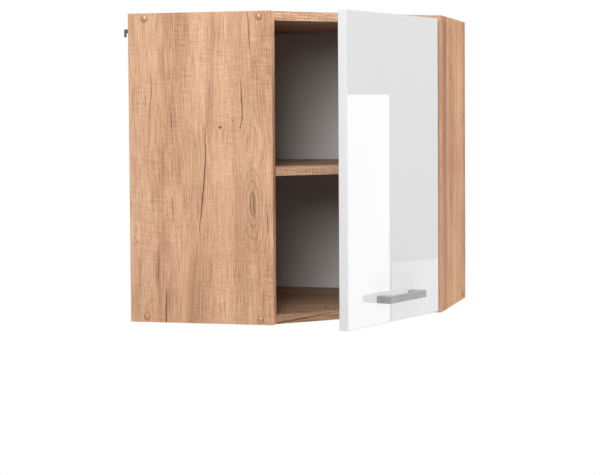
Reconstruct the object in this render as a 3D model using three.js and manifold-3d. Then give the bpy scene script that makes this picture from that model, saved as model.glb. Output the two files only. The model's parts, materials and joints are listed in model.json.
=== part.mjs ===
// Diagonal corner wall cabinet: two side panels, pentagonal top, bottom and shelf, two thin backs
// in grooves, and one slab door on two concealed corner hinges, shown ajar.
// Millimetres, +Z up. The origin is the room corner (where both walls meet) at the underside.
// +X runs along one wall, -Y along the other, so the room corner is the cabinet's rear edge.
import * as THREE from 'three';
import { mergeVertices } from 'three/addons/utils/BufferGeometryUtils.js';
import Module from 'manifold-3d';

const wasm = await Module();
wasm.setup();

// ---- Driving dimensions ------------------------------------------------------------------
const legLength = 565;          // along each wall, room corner to the side panel's outer face
const sideDepth = 290;          // side panels, wall to front edge
const cabinetHeight = 600;
const boardThickness = 18;

const backThickness = 3;
const backRecess = 17;          // wall to the back's rear face
const grooveDepth = 7.5;        // grooves that hold the backs
const backEdgeGap = 0.6;        // back's edge to the bottom of its groove
const cornerWeb = 4;            // corner profile: back's edge to the profile's outer side
const cornerWall = 1.1;         // corner profile: lips round each back
const cornerLip = 9;            // corner profile: how far the lips reach over each back

const boardSetback = 1;         // top and bottom, behind the line between the panels' inner corners
const shelfBelowMiddle = 6;     // shelf's middle below the cabinet's middle
const shelfSetback = 4;         // behind the front edges of top and bottom
const shelfEndGap = 1.2;        // shelf to panels and backs

const doorInset = 13.2;         // each door edge, in from the panels' outer front corners
const doorGap = 2;              // door's back face to the line between the panels' inner corners
const doorThickness = 18;
const doorLow = 3;              // door's lower edge above the cabinet's underside
const doorBelowTop = 6;         // door's upper edge below the cabinet's top
const doorEdgeRadius = 1.5;
const openAngle = 28;           // degrees that the door stands open

const screwFromBoardFace = 10.5; // corner screws, from the cabinet's top or bottom plane
const screwFromRear = 33.5;
const screwFromFront = 26;
const screwShank = 3.4;         // radii and lengths of the corner screws
const screwHead = 5;
const screwHeadDepth = 4.5;
const screwRoot = 2.8;
const screwLength = 50;
const screwSunk = 0.5;
const screwSocket = 2.3;
const screwSocketDepth = 3.4;
const capRadius = 6.6;
const capHeight = 2.4;
const capPeg = 1.9;
const capPegLength = 3.4;

const pinFromRear = 60;         // shelf pins on each side panel
const pinFromFront = 37;
const pinShank = 2.4;
const pinShankLength = 9;
const pinCollar = 4.2;
const pinBody = 3;
const pinReach = 9;
const pinRowStep = 64;          // spare pin holes above and below the ones in use

const handleFromDoorLow = 48.2; // handle's middle above the door's lower edge
const handlePitch = 128;
const handleEnd = 8;            // handle's end beyond its screws
const handleFoot = 20;          // width of each foot on the door
const handleStandOff = 30;
const handleBar = 8;
const handleHeight = 13.6;
const handleArchSlope = 7;      // inner side of each foot leans in by this much
const handleEdge = 1.2;
const handleScrewRadius = 2;
const handleScrewHead = 3.7;
const handleScrewHeadHeight = 2;
const handleScrewBite = 12;     // into the handle's foot

const bumperRadius = 4;
const bumperFromEdge = 20;
const bumperClearance = 0.3;    // to the board's edge when the door is shut

const hingeFromDoorEnd = 90;
const cupFromEdge = 5;          // door's edge to the cup
const cupRadius = 17.5;
const cupDepth = 11.7;
const cupFloor = 1.4;
const cupWall = 1.2;
const pocketHalfWidth = 8.2;
const flangeThickness = 1;
const flangeRadius = 19;
const flangeEar = 6;
const cupScrewPitch = 48;
const cupScrewOffset = 6;       // further from the door's edge than the cup's middle
const armPin = { along: 31.5, out: -2.5 };  // pin in the arm, measured from the shut door's edge
const cupPin = { along: 12.8, out: 4.8 };   // pin in the cup, the same way
const linkShare = 0.4;          // the link turns back by this share of the door's angle
const linkKnees = [{ along: 19.7, out: 6.7 }, { along: 24.5, out: 2.8 }];
const linkThickness = 2.4;
const linkHalfWidth = 5;
const pinRadius = 1.4;
const eyeRadius = 2.9;
const armTip = 3.4;
const armHalfWidth = 7.4;
const armSlotDepth = 6;         // slot for the link, behind the arm's pin
const armHeight = 13;           // arm's top above the panel
const armRear = 50;             // arm's rear end behind the panel's front edge
const armFront = 13;            // where the arm leaves the panel and turns to the door
const plateBase = 2;
const plateBlock = 5;
const plateFromFront = 37;      // plate's screws behind the panel's front edge
const plateHalfLength = 15;
const plateHalfHeight = 23;
const plateScrewPitch = 32;
const armScrewOffset = 7;       // behind the plate's screws
const smallScrew = { radius: 1.8, head: 3.6, headHeight: 1.6, bite: 11 };

const hangerThickness = 14;
const hangerLength = 44;
const hangerHeight = 50;
const hangerBelowTop = 2;       // housing's top under the top board
const hangerPeg = 4.8;
const hangerPegLength = 10;
const hookThickness = 2.5;
const hookBelowTop = 29;        // hook's upper edge below the cabinet's top
const hookBar = 8;              // height of the hook's bar
const hookClaw = 15.5;          // height of its claw
const hookClawWidth = 4.5;
const hookOut = 17;             // how far the hook stands out behind the cabinet
const hookTravel = 12;          // how far it can be drawn in
const hookInside = 26;          // bar's length inside the housing
const hangerScrew = { radius: 2.6, head: 4, headHeight: 2, bite: 24 };

const fitGap = 0.3;             // round pieces in their holes, and slots
const seatGap = 0.1;            // flat seats
const roundSides = 16;
const hiddenSides = 12;

// ---- Worked-out places -------------------------------------------------------------------
const innerFace = legLength - boardThickness;
const boardLow = boardThickness;
const boardHigh = cabinetHeight - boardThickness;
const shelfUnderside = (cabinetHeight - boardThickness) / 2 - shelfBelowMiddle;
const doorHeight = cabinetHeight - doorLow - doorBelowTop;
const pinCollarLength = shelfEndGap - fitGap;
const backInner = backRecess + backThickness;
const diagonal = Math.SQRT2 * (legLength - sideDepth);
const doorWidth = diagonal - 2 * doorInset;
const radians = THREE.MathUtils.degToRad;
const shutHeading = radians(225);          // from the hinge edge to the free edge, door shut
const hingeHeights = { upper: doorLow + doorHeight - hingeFromDoorEnd, lower: doorLow + hingeFromDoorEnd };
const cupMiddle = cupFromEdge + cupRadius;
const pinAxis = shelfUnderside - pinBody - seatGap;
const hookMiddle = hangerThickness / 2;    // hook's plane, from the panel's inner face
const hangerTop = boardHigh - hangerBelowTop;

// ---- Finishes ----------------------------------------------------------------------------
const finish = (color, roughness, metalness = 0) =>
  () => new THREE.MeshStandardMaterial({ color, roughness, metalness });
const oak = finish(0xcda27c, 0.6);
const whiteBoard = finish(0xe9e8e6, 0.5);
const whiteGloss = finish(0xf3f3f3, 0.12);
const greyMetal = finish(0x9da0a2, 0.35, 0.8);
const steel = finish(0xb9bcbf, 0.3, 1);
const capPlastic = finish(0xdcb58e, 0.45);
const whitePlastic = finish(0xe4e4e1, 0.45);
const clearRubber = finish(0xd9d9d6, 0.5);

// ---- Solids ------------------------------------------------------------------------------
function toSolid(geometry) {
  const bare = geometry.index ? geometry.toNonIndexed() : geometry.clone();
  bare.deleteAttribute('normal');
  bare.deleteAttribute('uv');
  const merged = mergeVertices(bare, 1e-5);
  return new wasm.Manifold(new wasm.Mesh({
    numProp: 3,
    vertProperties: new Float32Array(merged.attributes.position.array),
    triVerts: new Uint32Array(merged.index.array),
  }));
}

function toGeometry(solid) {
  const { vertProperties, triVerts } = solid.getMesh();
  const geometry = new THREE.BufferGeometry();
  geometry.setAttribute('position', new THREE.BufferAttribute(new Float32Array(vertProperties), 3));
  geometry.setIndex(new THREE.BufferAttribute(new Uint32Array(triVerts), 1));
  return geometry;
}

function combine(base, { add = [], cut = [] }) {
  let solid = toSolid(base);
  for (const piece of add) solid = solid.add(toSolid(piece));
  for (const piece of cut) solid = solid.subtract(toSolid(piece));
  return toGeometry(solid);
}

function common(first, second) {
  return toGeometry(toSolid(first).intersect(toSolid(second)));
}

// A box between two corners.
function block(low, high) {
  const size = high.map((value, i) => value - low[i]);
  const middle = high.map((value, i) => (value + low[i]) / 2);
  return new THREE.BoxGeometry(...size).translate(...middle);
}

// A plan outline of [x, y] points, as a board from one height to another.
function planBoard(points, low, high) {
  const shape = new THREE.Shape(points.map(([x, y]) => new THREE.Vector2(x, y)));
  return new THREE.ExtrudeGeometry(shape, { depth: high - low, bevelEnabled: false })
    .translate(0, 0, low);
}

// A turned piece from [radius, height] points; its axis then points along a plan heading.
function turned(profile, sides, heading, place) {
  const points = profile.map(([radius, height]) => new THREE.Vector2(radius, height));
  return new THREE.LatheGeometry(points, sides)
    .rotateZ(heading - Math.PI / 2)
    .translate(...place);
}

// An upright round bar between two heights, at a plan place.
function uprightBar(radius, [x, y], low, high, sides = roundSides) {
  return new THREE.CylinderGeometry(radius, radius, high - low, sides)
    .rotateX(Math.PI / 2)
    .translate(x, y, (low + high) / 2);
}

// The mirror of the cabinet swaps its two legs.
const swapLeg = ([x, y, ...rest]) => [-y, -x, ...rest];
const swapOutline = (points) => points.map(swapLeg).reverse();
const outwards = { left: -Math.PI / 2, right: 0 };
const onSide = { left: (place) => place, right: swapLeg };

function piece(name, geometry, material) {
  const mesh = new THREE.Mesh(geometry, material());
  mesh.name = name;
  return mesh;
}

const cabinet = new THREE.Group();

// ---- Turned hardware profiles, grown by a clearance where they are used as holes -----------
function cornerScrewProfile(grow = 0) {
  const tip = screwSunk - screwLength - grow;
  const socket = grow ? [[0, screwSunk]] : [[0, -screwSocketDepth - screwSunk],
    [screwSocket, -screwSocketDepth - screwSunk], [screwSocket, -screwSunk]];
  return [
    ...socket,
    [screwHead + grow, grow ? screwSunk : -screwSunk],
    [screwHead + grow, -screwSunk - 0.8],
    [screwShank + grow, -screwSunk - screwHeadDepth],
    [screwShank + grow, -boardThickness - 2],
    [screwRoot + grow, -boardThickness - 4],
    [screwRoot + grow, tip + 3],
    [0, tip],
  ].reverse();
}

function capProfile() {
  return [
    [0, -capPegLength], [capPeg, -capPegLength], [capPeg, seatGap],
    [capRadius, seatGap], [capRadius, capHeight * 0.35],
    [capRadius * 0.82, capHeight * 0.75], [capRadius * 0.45, capHeight * 0.95], [0, capHeight],
  ];
}

function shelfPinProfile(grow = 0) {
  const bed = [[0, -pinShankLength - grow], [pinShank + grow, -pinShankLength - grow]];
  if (grow) return [...bed, [pinShank + grow, 1], [0, 1]];
  return [
    ...bed, [pinShank, seatGap], [pinCollar, seatGap], [pinCollar, pinCollarLength],
    [pinBody, pinCollarLength], [pinBody, pinReach], [0, pinReach],
  ];
}

// Head above height zero, shank below it; the head's cross is a round recess here.
function panScrewProfile({ radius, head, headHeight, bite }) {
  return [
    [0, -bite], [radius * 0.5, -bite], [radius, -bite + radius],
    [radius, seatGap], [head, seatGap], [head, headHeight * 0.6], [head * 0.7, headHeight],
    [head * 0.4, headHeight], [head * 0.4, headHeight * 0.5], [0, headHeight * 0.5],
  ];
}

const screwHole = (radius, deep, high) => [[0, -deep], [radius, -deep], [radius, high], [0, high]];

// ---- Places of repeated hardware -----------------------------------------------------------
const cornerScrewPlaces = [];
for (const side of ['left', 'right']) {
  for (const [end, along] of [['rear', screwFromRear], ['front', sideDepth - screwFromFront]]) {
    for (const [level, z] of [['top', cabinetHeight - screwFromBoardFace],
      ['bottom', screwFromBoardFace]]) {
      const place = onSide[side]([along, -legLength, z]);
      cornerScrewPlaces.push({ name: `${side}_${level}_${end}`, side, level, place });
    }
  }
}

const shelfPinPlaces = [];
for (const side of ['left', 'right']) {
  for (const [end, along] of [['rear', pinFromRear], ['front', sideDepth - pinFromFront]]) {
    shelfPinPlaces.push({ name: `${side}_${end}`, side, place: onSide[side]([along, -innerFace, pinAxis]) });
  }
}
const inwards = { left: outwards.left + Math.PI, right: outwards.right + Math.PI };

const hangerPegHeights = [hangerTop - hangerHeight * 0.75];
const hangerPegAlongs = [backInner + fitGap + hangerLength * 0.25, backInner + fitGap + hangerLength * 0.75];

// ---- Carcass -------------------------------------------------------------------------------
function sidePanel(side) {
  const grooveFront = backInner + fitGap;
  const grooveRear = backRecess - fitGap;
  const outline = [
    [0, -legLength], [sideDepth, -legLength], [sideDepth, -innerFace],
    [grooveFront, -innerFace], [grooveFront, -innerFace - grooveDepth],
    [grooveRear, -innerFace - grooveDepth], [grooveRear, -innerFace], [0, -innerFace],
  ];
  const cut = [];
  for (const { side: own, place } of cornerScrewPlaces) {
    if (own === side) cut.push(turned(cornerScrewProfile(fitGap), hiddenSides, outwards[side], place));
  }
  for (const { side: own, place: [x, y, z] } of shelfPinPlaces) {
    if (own !== side) continue;
    for (const rise of [-pinRowStep, 0, pinRowStep]) {
      cut.push(turned(shelfPinProfile(fitGap), hiddenSides, inwards[side], [x, y, z + rise]));
    }
  }
  for (const z of hangerPegHeights) {
    for (const along of hangerPegAlongs) {
      const hole = screwHole(hangerPeg + fitGap, hangerPegLength + fitGap, 1);
      cut.push(turned(hole, hiddenSides, inwards[side], onSide[side]([along, -innerFace, z])));
    }
  }
  if (side === 'right') {
    for (const { place } of plateScrewPlaces) {
      const hole = screwHole(smallScrew.radius + fitGap, smallScrew.bite + fitGap, 1);
      cut.push(turned(hole, hiddenSides, inwards.right, [innerFace, place[1], place[2]]));
    }
  }
  const plan = side === 'left' ? outline : swapOutline(outline);
  return piece(`${side}_side_panel`, combine(planBoard(plan, 0, cabinetHeight), { cut }), oak);
}

// Room corner, along both backs to the panels, forward, and across the diagonal front.
function boardOutline(rear, end, setback = 0) {
  const front = sideDepth - setback * Math.SQRT2;
  return [
    [rear, -rear], [rear, -innerFace + end], [front + end, -innerFace + end],
    [innerFace - end, -front - end], [innerFace - end, -rear],
  ];
}

function endBoard(level) {
  const low = level === 'top' ? boardHigh : 0;
  const grooveLow = level === 'top' ? boardHigh - 1 : boardLow - grooveDepth;
  const grooveHigh = level === 'top' ? boardHigh + grooveDepth : boardLow + 1;
  const cut = [];
  for (const side of ['left', 'right']) {
    const rear = onSide[side]([backRecess - fitGap, -innerFace - 1, grooveLow]);
    const front = onSide[side]([backInner + fitGap, -backEdge + fitGap, grooveHigh]);
    const low3 = rear.map((value, i) => Math.min(value, front[i]));
    const high3 = rear.map((value, i) => Math.max(value, front[i]));
    cut.push(block(low3, high3));
  }
  for (const { level: own, side, place } of cornerScrewPlaces) {
    if (own === level) cut.push(turned(cornerScrewProfile(fitGap), hiddenSides, outwards[side], place));
  }
  const board = planBoard(boardOutline(0, seatGap, boardSetback), low, low + boardThickness);
  return piece(`${level}_panel`, combine(board, { cut }), oak);
}

// The backs end short of the corner profile's web.
const backEdge = backInner + cornerWeb;

function backPanel(side) {
  const far = innerFace + grooveDepth - backEdgeGap;
  const outline = [
    [backRecess, -far], [backInner, -far], [backInner, -backEdge - fitGap],
    [backRecess, -backEdge - fitGap],
  ];
  const plan = side === 'left' ? outline : swapOutline(outline);
  const reach = grooveDepth - backEdgeGap;
  const sheet = planBoard(plan, boardLow - reach, boardHigh + reach);
  const near = onSide[side]([backRecess - 1, -innerFace + hookMiddle - hookThickness, hookLow - 1]);
  const away = onSide[side]([backInner + 1, -innerFace + hookMiddle + hookThickness, hookHigh + 1]);
  const slot = block(near.map((v, i) => Math.min(v, away[i])), near.map((v, i) => Math.max(v, away[i])));
  return piece(`${side}_back_panel`, combine(sheet, { cut: [slot] }), whiteBoard);
}

// Upright plastic profile that takes the edge of each back in the room corner.
function cornerProfile() {
  const rear = backRecess - fitGap - cornerWall;
  const slotRear = backRecess - fitGap;
  const slotFront = backInner + fitGap;
  const front = slotFront + cornerWall;
  const lip = backEdge + cornerLip;
  const half = [[rear, rear], [lip, rear], [lip, slotRear], [backEdge, slotRear],
    [backEdge, slotFront], [lip, slotFront], [lip, front], [front, front]];
  const other = half.slice(1, -1).map(([x, y]) => [y, x]).reverse();
  const outline = [...half, ...other].map(([x, y]) => [x, -y]).reverse();
  return piece('back_corner_profile', planBoard(outline, boardLow + seatGap, boardHigh - seatGap), whitePlastic);
}

function shelf() {
  const rear = backInner + fitGap + cornerWall + shelfEndGap;
  const outline = boardOutline(rear, shelfEndGap, boardSetback + shelfSetback);
  const board = planBoard(outline, shelfUnderside, shelfUnderside + boardThickness);
  return piece('shelf', board, oak);
}

// ---- Hangers at the rear top corners ----------------------------------------------------------
const hookHigh = cabinetHeight - hookBelowTop;
const hookLow = hookHigh - hookBar;

// A flat outline of [along, height] points standing on a side panel's inner face.
function standing(side, points, near, far) {
  const shape = new THREE.Shape(points.map(([along, z]) => new THREE.Vector2(along, z)));
  const flat = new THREE.ExtrudeGeometry(shape, { depth: far - near, bevelEnabled: false });
  if (side === 'left') return flat.rotateX(Math.PI / 2).translate(0, -innerFace + far, 0);
  return flat.rotateX(Math.PI / 2).rotateZ(-Math.PI / 2).translate(innerFace - near, 0, 0);
}

function hangerHousing(side) {
  const rear = backInner + fitGap;
  const front = rear + hangerLength;
  const low = hangerTop - hangerHeight;
  const chamfer = 6;
  const outline = [[rear, low], [front - chamfer, low], [front, low + chamfer],
    [front, hangerTop - chamfer], [front - chamfer, hangerTop], [rear, hangerTop]];
  const body = standing(side, outline, seatGap, hangerThickness);
  const slotNear = hookMiddle - hookThickness / 2 - fitGap;
  const slotFar = hookMiddle + hookThickness / 2 + fitGap;
  const slotEnd = rear + hookInside + hookTravel + 1;
  const slotOutline = [[rear - 1, hookLow - fitGap], [slotEnd, hookLow - fitGap],
    [slotEnd, hookHigh + fitGap], [rear - 1, hookHigh + fitGap]];
  const add = [];
  for (const z of hangerPegHeights) {
    for (const along of hangerPegAlongs) {
      const peg = screwHole(hangerPeg, hangerPegLength, seatGap + 1);
      add.push(turned(peg, hiddenSides, inwards[side], onSide[side]([along, -innerFace, z])));
    }
  }
  const bore = screwHole(hangerScrew.radius + fitGap, hangerScrew.bite + 2, 1);
  const cut = [standing(side, slotOutline, slotNear, slotFar),
    turned(bore, hiddenSides, screwHeading[side], hangerScrewPlace(side))];
  return piece(`${side}_hanger_housing`, combine(body, { add, cut }), whitePlastic);
}

// The hanger's adjusting screw faces the room, away from the wall.
const screwHeading = { left: 0, right: -Math.PI / 2 };

function hangerScrewPlace(side) {
  const along = backInner + fitGap + hangerLength;
  return onSide[side]([along, -innerFace + hangerThickness / 2, hookLow - hangerScrew.head - 5]);
}

function hangerScrewPiece(side) {
  const profile = panScrewProfile(hangerScrew);
  const geometry = turned(profile, hiddenSides, screwHeading[side], hangerScrewPlace(side));
  return piece(`${side}_hanger_screw`, geometry, steel);
}

function hangerHook(side) {
  const rear = -hookOut;
  const inner = backInner + fitGap + hookInside;
  const outline = [[rear, hookHigh - hookClaw], [rear + hookClawWidth, hookHigh - hookClaw],
    [rear + hookClawWidth, hookLow], [inner, hookLow], [inner, hookHigh], [rear, hookHigh]];
  const near = hookMiddle - hookThickness / 2;
  return piece(`${side}_hanger_hook`, standing(side, outline, near, near + hookThickness), steel);
}

// ---- Hinges ------------------------------------------------------------------------------------
// Hinge places are measured from the shut door's hinge edge: along it, and outwards.
const hingeOrigin = new THREE.Vector2(legLength, -sideDepth)
  .add(new THREE.Vector2(-1, -1).multiplyScalar(doorInset / Math.SQRT2))
  .add(new THREE.Vector2(1, -1).multiplyScalar(-boardThickness / 2));

const shutToPlan = ({ along, out }) => new THREE.Vector2(along, out)
  .rotateAround(new THREE.Vector2(), shutHeading)
  .add(hingeOrigin);

const plateScrewPlaces = [];
for (const [level, z] of Object.entries(hingeHeights)) {
  for (const [end, sign] of [['top', 1], ['bottom', -1]]) {
    plateScrewPlaces.push({
      name: `${level}_plate_screw_${end}`,
      place: [innerFace - plateBase - seatGap, -sideDepth + plateFromFront, z + sign * plateScrewPitch / 2],
    });
  }
}

function armScrewPlace(z) {
  return [innerFace - armHeight, -sideDepth + plateFromFront + armScrewOffset, z];
}

function mountingPlate(level) {
  const z = hingeHeights[level];
  const middle = -sideDepth + plateFromFront;
  const base = block([innerFace - plateBase - seatGap, middle - plateHalfLength, z - plateHalfHeight],
    [innerFace - seatGap, middle + plateHalfLength, z + plateHalfHeight]);
  const raised = block([innerFace - plateBlock, middle - plateHalfLength, z - armHalfWidth + 1],
    [innerFace - seatGap, middle + plateHalfLength - 1, z + armHalfWidth - 1]);
  const cut = plateScrewPlaces.filter(({ name }) => name.startsWith(level)).map(({ place }) =>
    turned(screwHole(smallScrew.radius + fitGap, plateBase + 1, 1), hiddenSides, inwards.right, place));
  const armHole = screwHole(smallScrew.radius + fitGap, armHeight - plateBase, 1);
  cut.push(turned(armHole, hiddenSides, inwards.right, armScrewPlace(z)));
  return piece(`${level}_hinge_plate`, combine(base, { add: [raised], cut }), steel);
}

function hingeArm(level) {
  const z = hingeHeights[level];
  const tip = shutToPlan(armPin);
  const low = z - armHalfWidth;
  const high = z + armHalfWidth;
  const panelSide = innerFace - plateBlock - seatGap;
  const roomSide = innerFace - armHeight;
  const turnAt = -sideDepth + armFront;
  const rear = -sideDepth + armRear;
  const lean = new THREE.Vector2((panelSide + roomSide) / 2, turnAt).sub(tip).normalize();
  const across = new THREE.Vector2(lean.y, -lean.x).multiplyScalar(armTip);
  const body = planBoard([
    [tip.x + across.x, tip.y + across.y], [panelSide, turnAt], [panelSide, rear],
    [roomSide, rear], [roomSide, turnAt], [tip.x - across.x, tip.y - across.y],
  ], low, high);
  const nose = uprightBar(armTip, tip.toArray(), low, high);
  const slotReach = armTip + 3;
  const slot = block([tip.x - slotReach, tip.y - slotReach, z - linkHalfWidth - fitGap],
    [tip.x + slotReach + 3, tip.y + armSlotDepth, z + linkHalfWidth + fitGap]);
  const pin = uprightBar(pinRadius, tip.toArray(), low + 0.5, high - 0.5);
  const screw = screwHole(smallScrew.radius + fitGap, armHeight - plateBlock + 1, 1);
  const forked = combine(body, { add: [nose], cut: [slot,
    turned(screw, hiddenSides, inwards.right, armScrewPlace(z))] });
  return piece(`${level}_hinge_arm`, combine(forked, { add: [pin] }), steel);
}

// The link is drawn round the arm's pin, for the shut door.
function hingeLink(level) {
  const z = hingeHeights[level];
  const toArm = ({ along, out }) => new THREE.Vector3(along - armPin.along, out - armPin.out, 0);
  const cupEnd = toArm(cupPin);
  const path = new THREE.CatmullRomCurve3([cupEnd, ...linkKnees.map(toArm), new THREE.Vector3()]);
  const steps = 8;
  const sides = { near: [], far: [] };
  for (let i = 0; i <= steps; i += 1) {
    const point = path.getPoint(i / steps);
    const heading = path.getTangent(i / steps);
    const normal = new THREE.Vector2(-heading.y, heading.x).multiplyScalar(linkThickness / 2);
    sides.near.push([point.x + normal.x, point.y + normal.y]);
    sides.far.push([point.x - normal.x, point.y - normal.y]);
  }
  const low = z - linkHalfWidth;
  const high = z + linkHalfWidth;
  const strip = planBoard([...sides.near.reverse(), ...sides.far], low, high);
  const ends = [[0, 0], [cupEnd.x, cupEnd.y]];
  return piece(`${level}_hinge_link`, combine(strip, {
    add: ends.map((end) => uprightBar(eyeRadius, end, low, high)),
    cut: ends.map((end) => uprightBar(pinRadius + fitGap, end, low - 1, high + 1)),
  }), steel);
}

// ---- Door, in its own frame: along from the hinge edge, outwards, and up -----------------------
const doorBack = doorGap;
const doorFace = doorGap + doorThickness;
const handleMiddle = doorWidth / 2;
const handleScrewAlongs = [handleMiddle - handlePitch / 2, handleMiddle + handlePitch / 2];
const handleZ = doorLow + handleFromDoorLow;
const facing = { out: Math.PI / 2, back: -Math.PI / 2 };

function cupScrewPlaces(level) {
  return [['top', 1], ['bottom', -1]].map(([end, sign]) => ({
    name: `${level}_cup_screw_${end}`,
    place: [cupMiddle + cupScrewOffset, doorBack - flangeThickness,
      hingeHeights[level] + sign * cupScrewPitch / 2],
  }));
}

function doorPanel() {
  const r = doorEdgeRadius;
  const shape = new THREE.Shape([
    [r, doorLow + r], [doorWidth - r, doorLow + r],
    [doorWidth - r, doorLow + doorHeight - r], [r, doorLow + doorHeight - r],
  ].map(([x, z]) => new THREE.Vector2(x, z)));
  const slab = new THREE.ExtrudeGeometry(shape, {
    depth: doorThickness - 2 * r, bevelEnabled: true, bevelThickness: r, bevelSize: r, bevelSegments: 3,
  }).rotateX(Math.PI / 2).translate(0, doorFace - r, 0);
  const cut = [];
  for (const [level, z] of Object.entries(hingeHeights)) {
    const bore = screwHole(cupRadius + fitGap, cupDepth + fitGap, 1);
    cut.push(turned(bore, 32, facing.back, [cupMiddle, doorBack, z]));
    for (const { place } of cupScrewPlaces(level)) {
      const hole = screwHole(smallScrew.radius + fitGap, smallScrew.bite + fitGap, 1);
      cut.push(turned(hole, hiddenSides, facing.back, place));
    }
  }
  for (const along of handleScrewAlongs) {
    const hole = screwHole(handleScrewRadius + fitGap, doorThickness + 1, 1);
    cut.push(turned(hole, hiddenSides, facing.back, [along, doorBack, handleZ]));
  }
  return piece('door_panel', combine(slab, { cut }), whiteGloss);
}

function handle() {
  const half = handlePitch / 2 + handleEnd;
  const inner = half - handleFoot;
  const e = handleEdge;
  const seat = doorFace + seatGap;
  const face = doorFace + handleStandOff;
  const arch = face - handleBar;
  const shape = new THREE.Shape([
    [-half + e, seat + e], [-inner - e, seat + e], [-inner + handleArchSlope - e, arch + e],
    [inner - handleArchSlope + e, arch + e], [inner + e, seat + e], [half - e, seat + e],
    [half - e, face - e], [-half + e, face - e],
  ].map(([along, out]) => new THREE.Vector2(handleMiddle + along, out)));
  const bow = new THREE.ExtrudeGeometry(shape, {
    depth: handleHeight - 2 * e, bevelEnabled: true, bevelThickness: e, bevelSize: e, bevelSegments: 2,
  }).translate(0, 0, handleZ - handleHeight / 2 + e);
  const cut = handleScrewAlongs.map((along) => {
    const hole = screwHole(handleScrewRadius + fitGap, handleScrewBite + 2, 1);
    return turned(hole, hiddenSides, facing.back, [along, doorFace, handleZ]);
  });
  return piece('handle', combine(bow, { cut }), greyMetal);
}

function handleScrew(index) {
  const profile = panScrewProfile({ radius: handleScrewRadius, head: handleScrewHead,
    headHeight: handleScrewHeadHeight, bite: doorThickness + handleScrewBite });
  const geometry = turned(profile, hiddenSides, facing.back, [handleScrewAlongs[index], doorBack, handleZ]);
  return piece(`handle_screw_${index + 1}`, geometry, steel);
}

function bumper(level) {
  const z = level === 'top' ? (boardHigh + doorLow + doorHeight) / 2 : (doorLow + boardLow) / 2;
  const height = doorGap - bumperClearance;
  const dome = [[0, seatGap], [bumperRadius, seatGap], [bumperRadius, height * 0.4],
    [bumperRadius * 0.7, height * 0.85], [0, height]];
  const place = [doorWidth - bumperFromEdge, doorBack, z];
  return piece(`${level}_door_bumper`, turned(dome, hiddenSides, facing.back, place), clearRubber);
}

function hingeCup(level) {
  const z = hingeHeights[level];
  const brim = doorBack - flangeThickness;
  const at = [cupMiddle, doorBack, z];
  const bowl = turned(screwHole(cupRadius, cupDepth, 0), 32, facing.back, at);
  const rim = turned(screwHole(flangeRadius, -seatGap, flangeThickness), 32, facing.back, at);
  const ears = cupScrewPlaces(level).map(({ place: [along, , high] }) =>
    turned(screwHole(flangeEar, -seatGap, flangeThickness), roundSides, facing.back, [along, doorBack, high]));
  const bridge = block(
    [cupMiddle + cupScrewOffset - flangeEar, brim, z - cupScrewPitch / 2],
    [cupMiddle + cupScrewOffset + flangeEar, doorBack - seatGap, z + cupScrewPitch / 2]);
  const neck = turned(screwHole(cupRadius, 1, flangeThickness), 32, facing.back, at);
  const hollow = common(
    turned(screwHole(cupRadius - cupWall, cupDepth - cupFloor, 3), 32, facing.back, at),
    block([0, brim - 3, z - pocketHalfWidth], [cupMiddle * 2, doorBack + cupDepth, z + pocketHalfWidth]));
  const holes = cupScrewPlaces(level).map(({ place }) =>
    turned(screwHole(smallScrew.radius + fitGap, flangeThickness + 1, 1), hiddenSides, facing.back, place));
  const shell = combine(bowl, { add: [rim, neck, bridge, ...ears], cut: [hollow, ...holes] });
  const pin = uprightBar(pinRadius, [cupPin.along, cupPin.out], z - pocketHalfWidth - 0.6,
    z + pocketHalfWidth + 0.6);
  return piece(`${level}_hinge_cup`, combine(shell, { add: [pin] }), steel);
}

// ---- Assembly ----------------------------------------------------------------------------------
for (const side of ['left', 'right']) {
  cabinet.add(sidePanel(side), backPanel(side));
  cabinet.add(hangerHousing(side), hangerHook(side), hangerScrewPiece(side));
}
cabinet.add(endBoard('top'), endBoard('bottom'), shelf(), cornerProfile());

for (const { name, side, place } of cornerScrewPlaces) {
  cabinet.add(piece(`corner_screw_${name}`,
    turned(cornerScrewProfile(), hiddenSides, outwards[side], place), steel));
  cabinet.add(piece(`cover_cap_${name}`, turned(capProfile(), roundSides, outwards[side], place), capPlastic));
}
for (const { name, side, place } of shelfPinPlaces) {
  cabinet.add(piece(`shelf_pin_${name}`, turned(shelfPinProfile(), hiddenSides, inwards[side], place), steel));
}
for (const { name, place } of plateScrewPlaces) {
  cabinet.add(piece(name, turned(panScrewProfile(smallScrew), hiddenSides, inwards.right, place), steel));
}

// Each hinge is a chain: the arm is fixed, the link turns on the arm, the door turns on the links.
const opened = radians(openAngle);
const linkTurn = -linkShare * opened;

function shutFrame() {
  const frame = new THREE.Group();
  frame.position.set(hingeOrigin.x, hingeOrigin.y, 0);
  frame.rotation.z = shutHeading;
  return frame;
}

function linkFrame() {
  const frame = new THREE.Group();
  frame.position.set(armPin.along, armPin.out, 0);
  frame.rotation.z = linkTurn;
  return frame;
}

for (const level of Object.keys(hingeHeights)) {
  const armScrew = panScrewProfile({ ...smallScrew, bite: armHeight - plateBase - 1 });
  const place = armScrewPlace(hingeHeights[level]);
  cabinet.add(mountingPlate(level), hingeArm(level));
  cabinet.add(piece(`${level}_arm_screw`, turned(armScrew, hiddenSides, inwards.right, place), steel));
  const links = linkFrame();
  links.add(hingeLink(level));
  cabinet.add(shutFrame().add(links));
}

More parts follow.
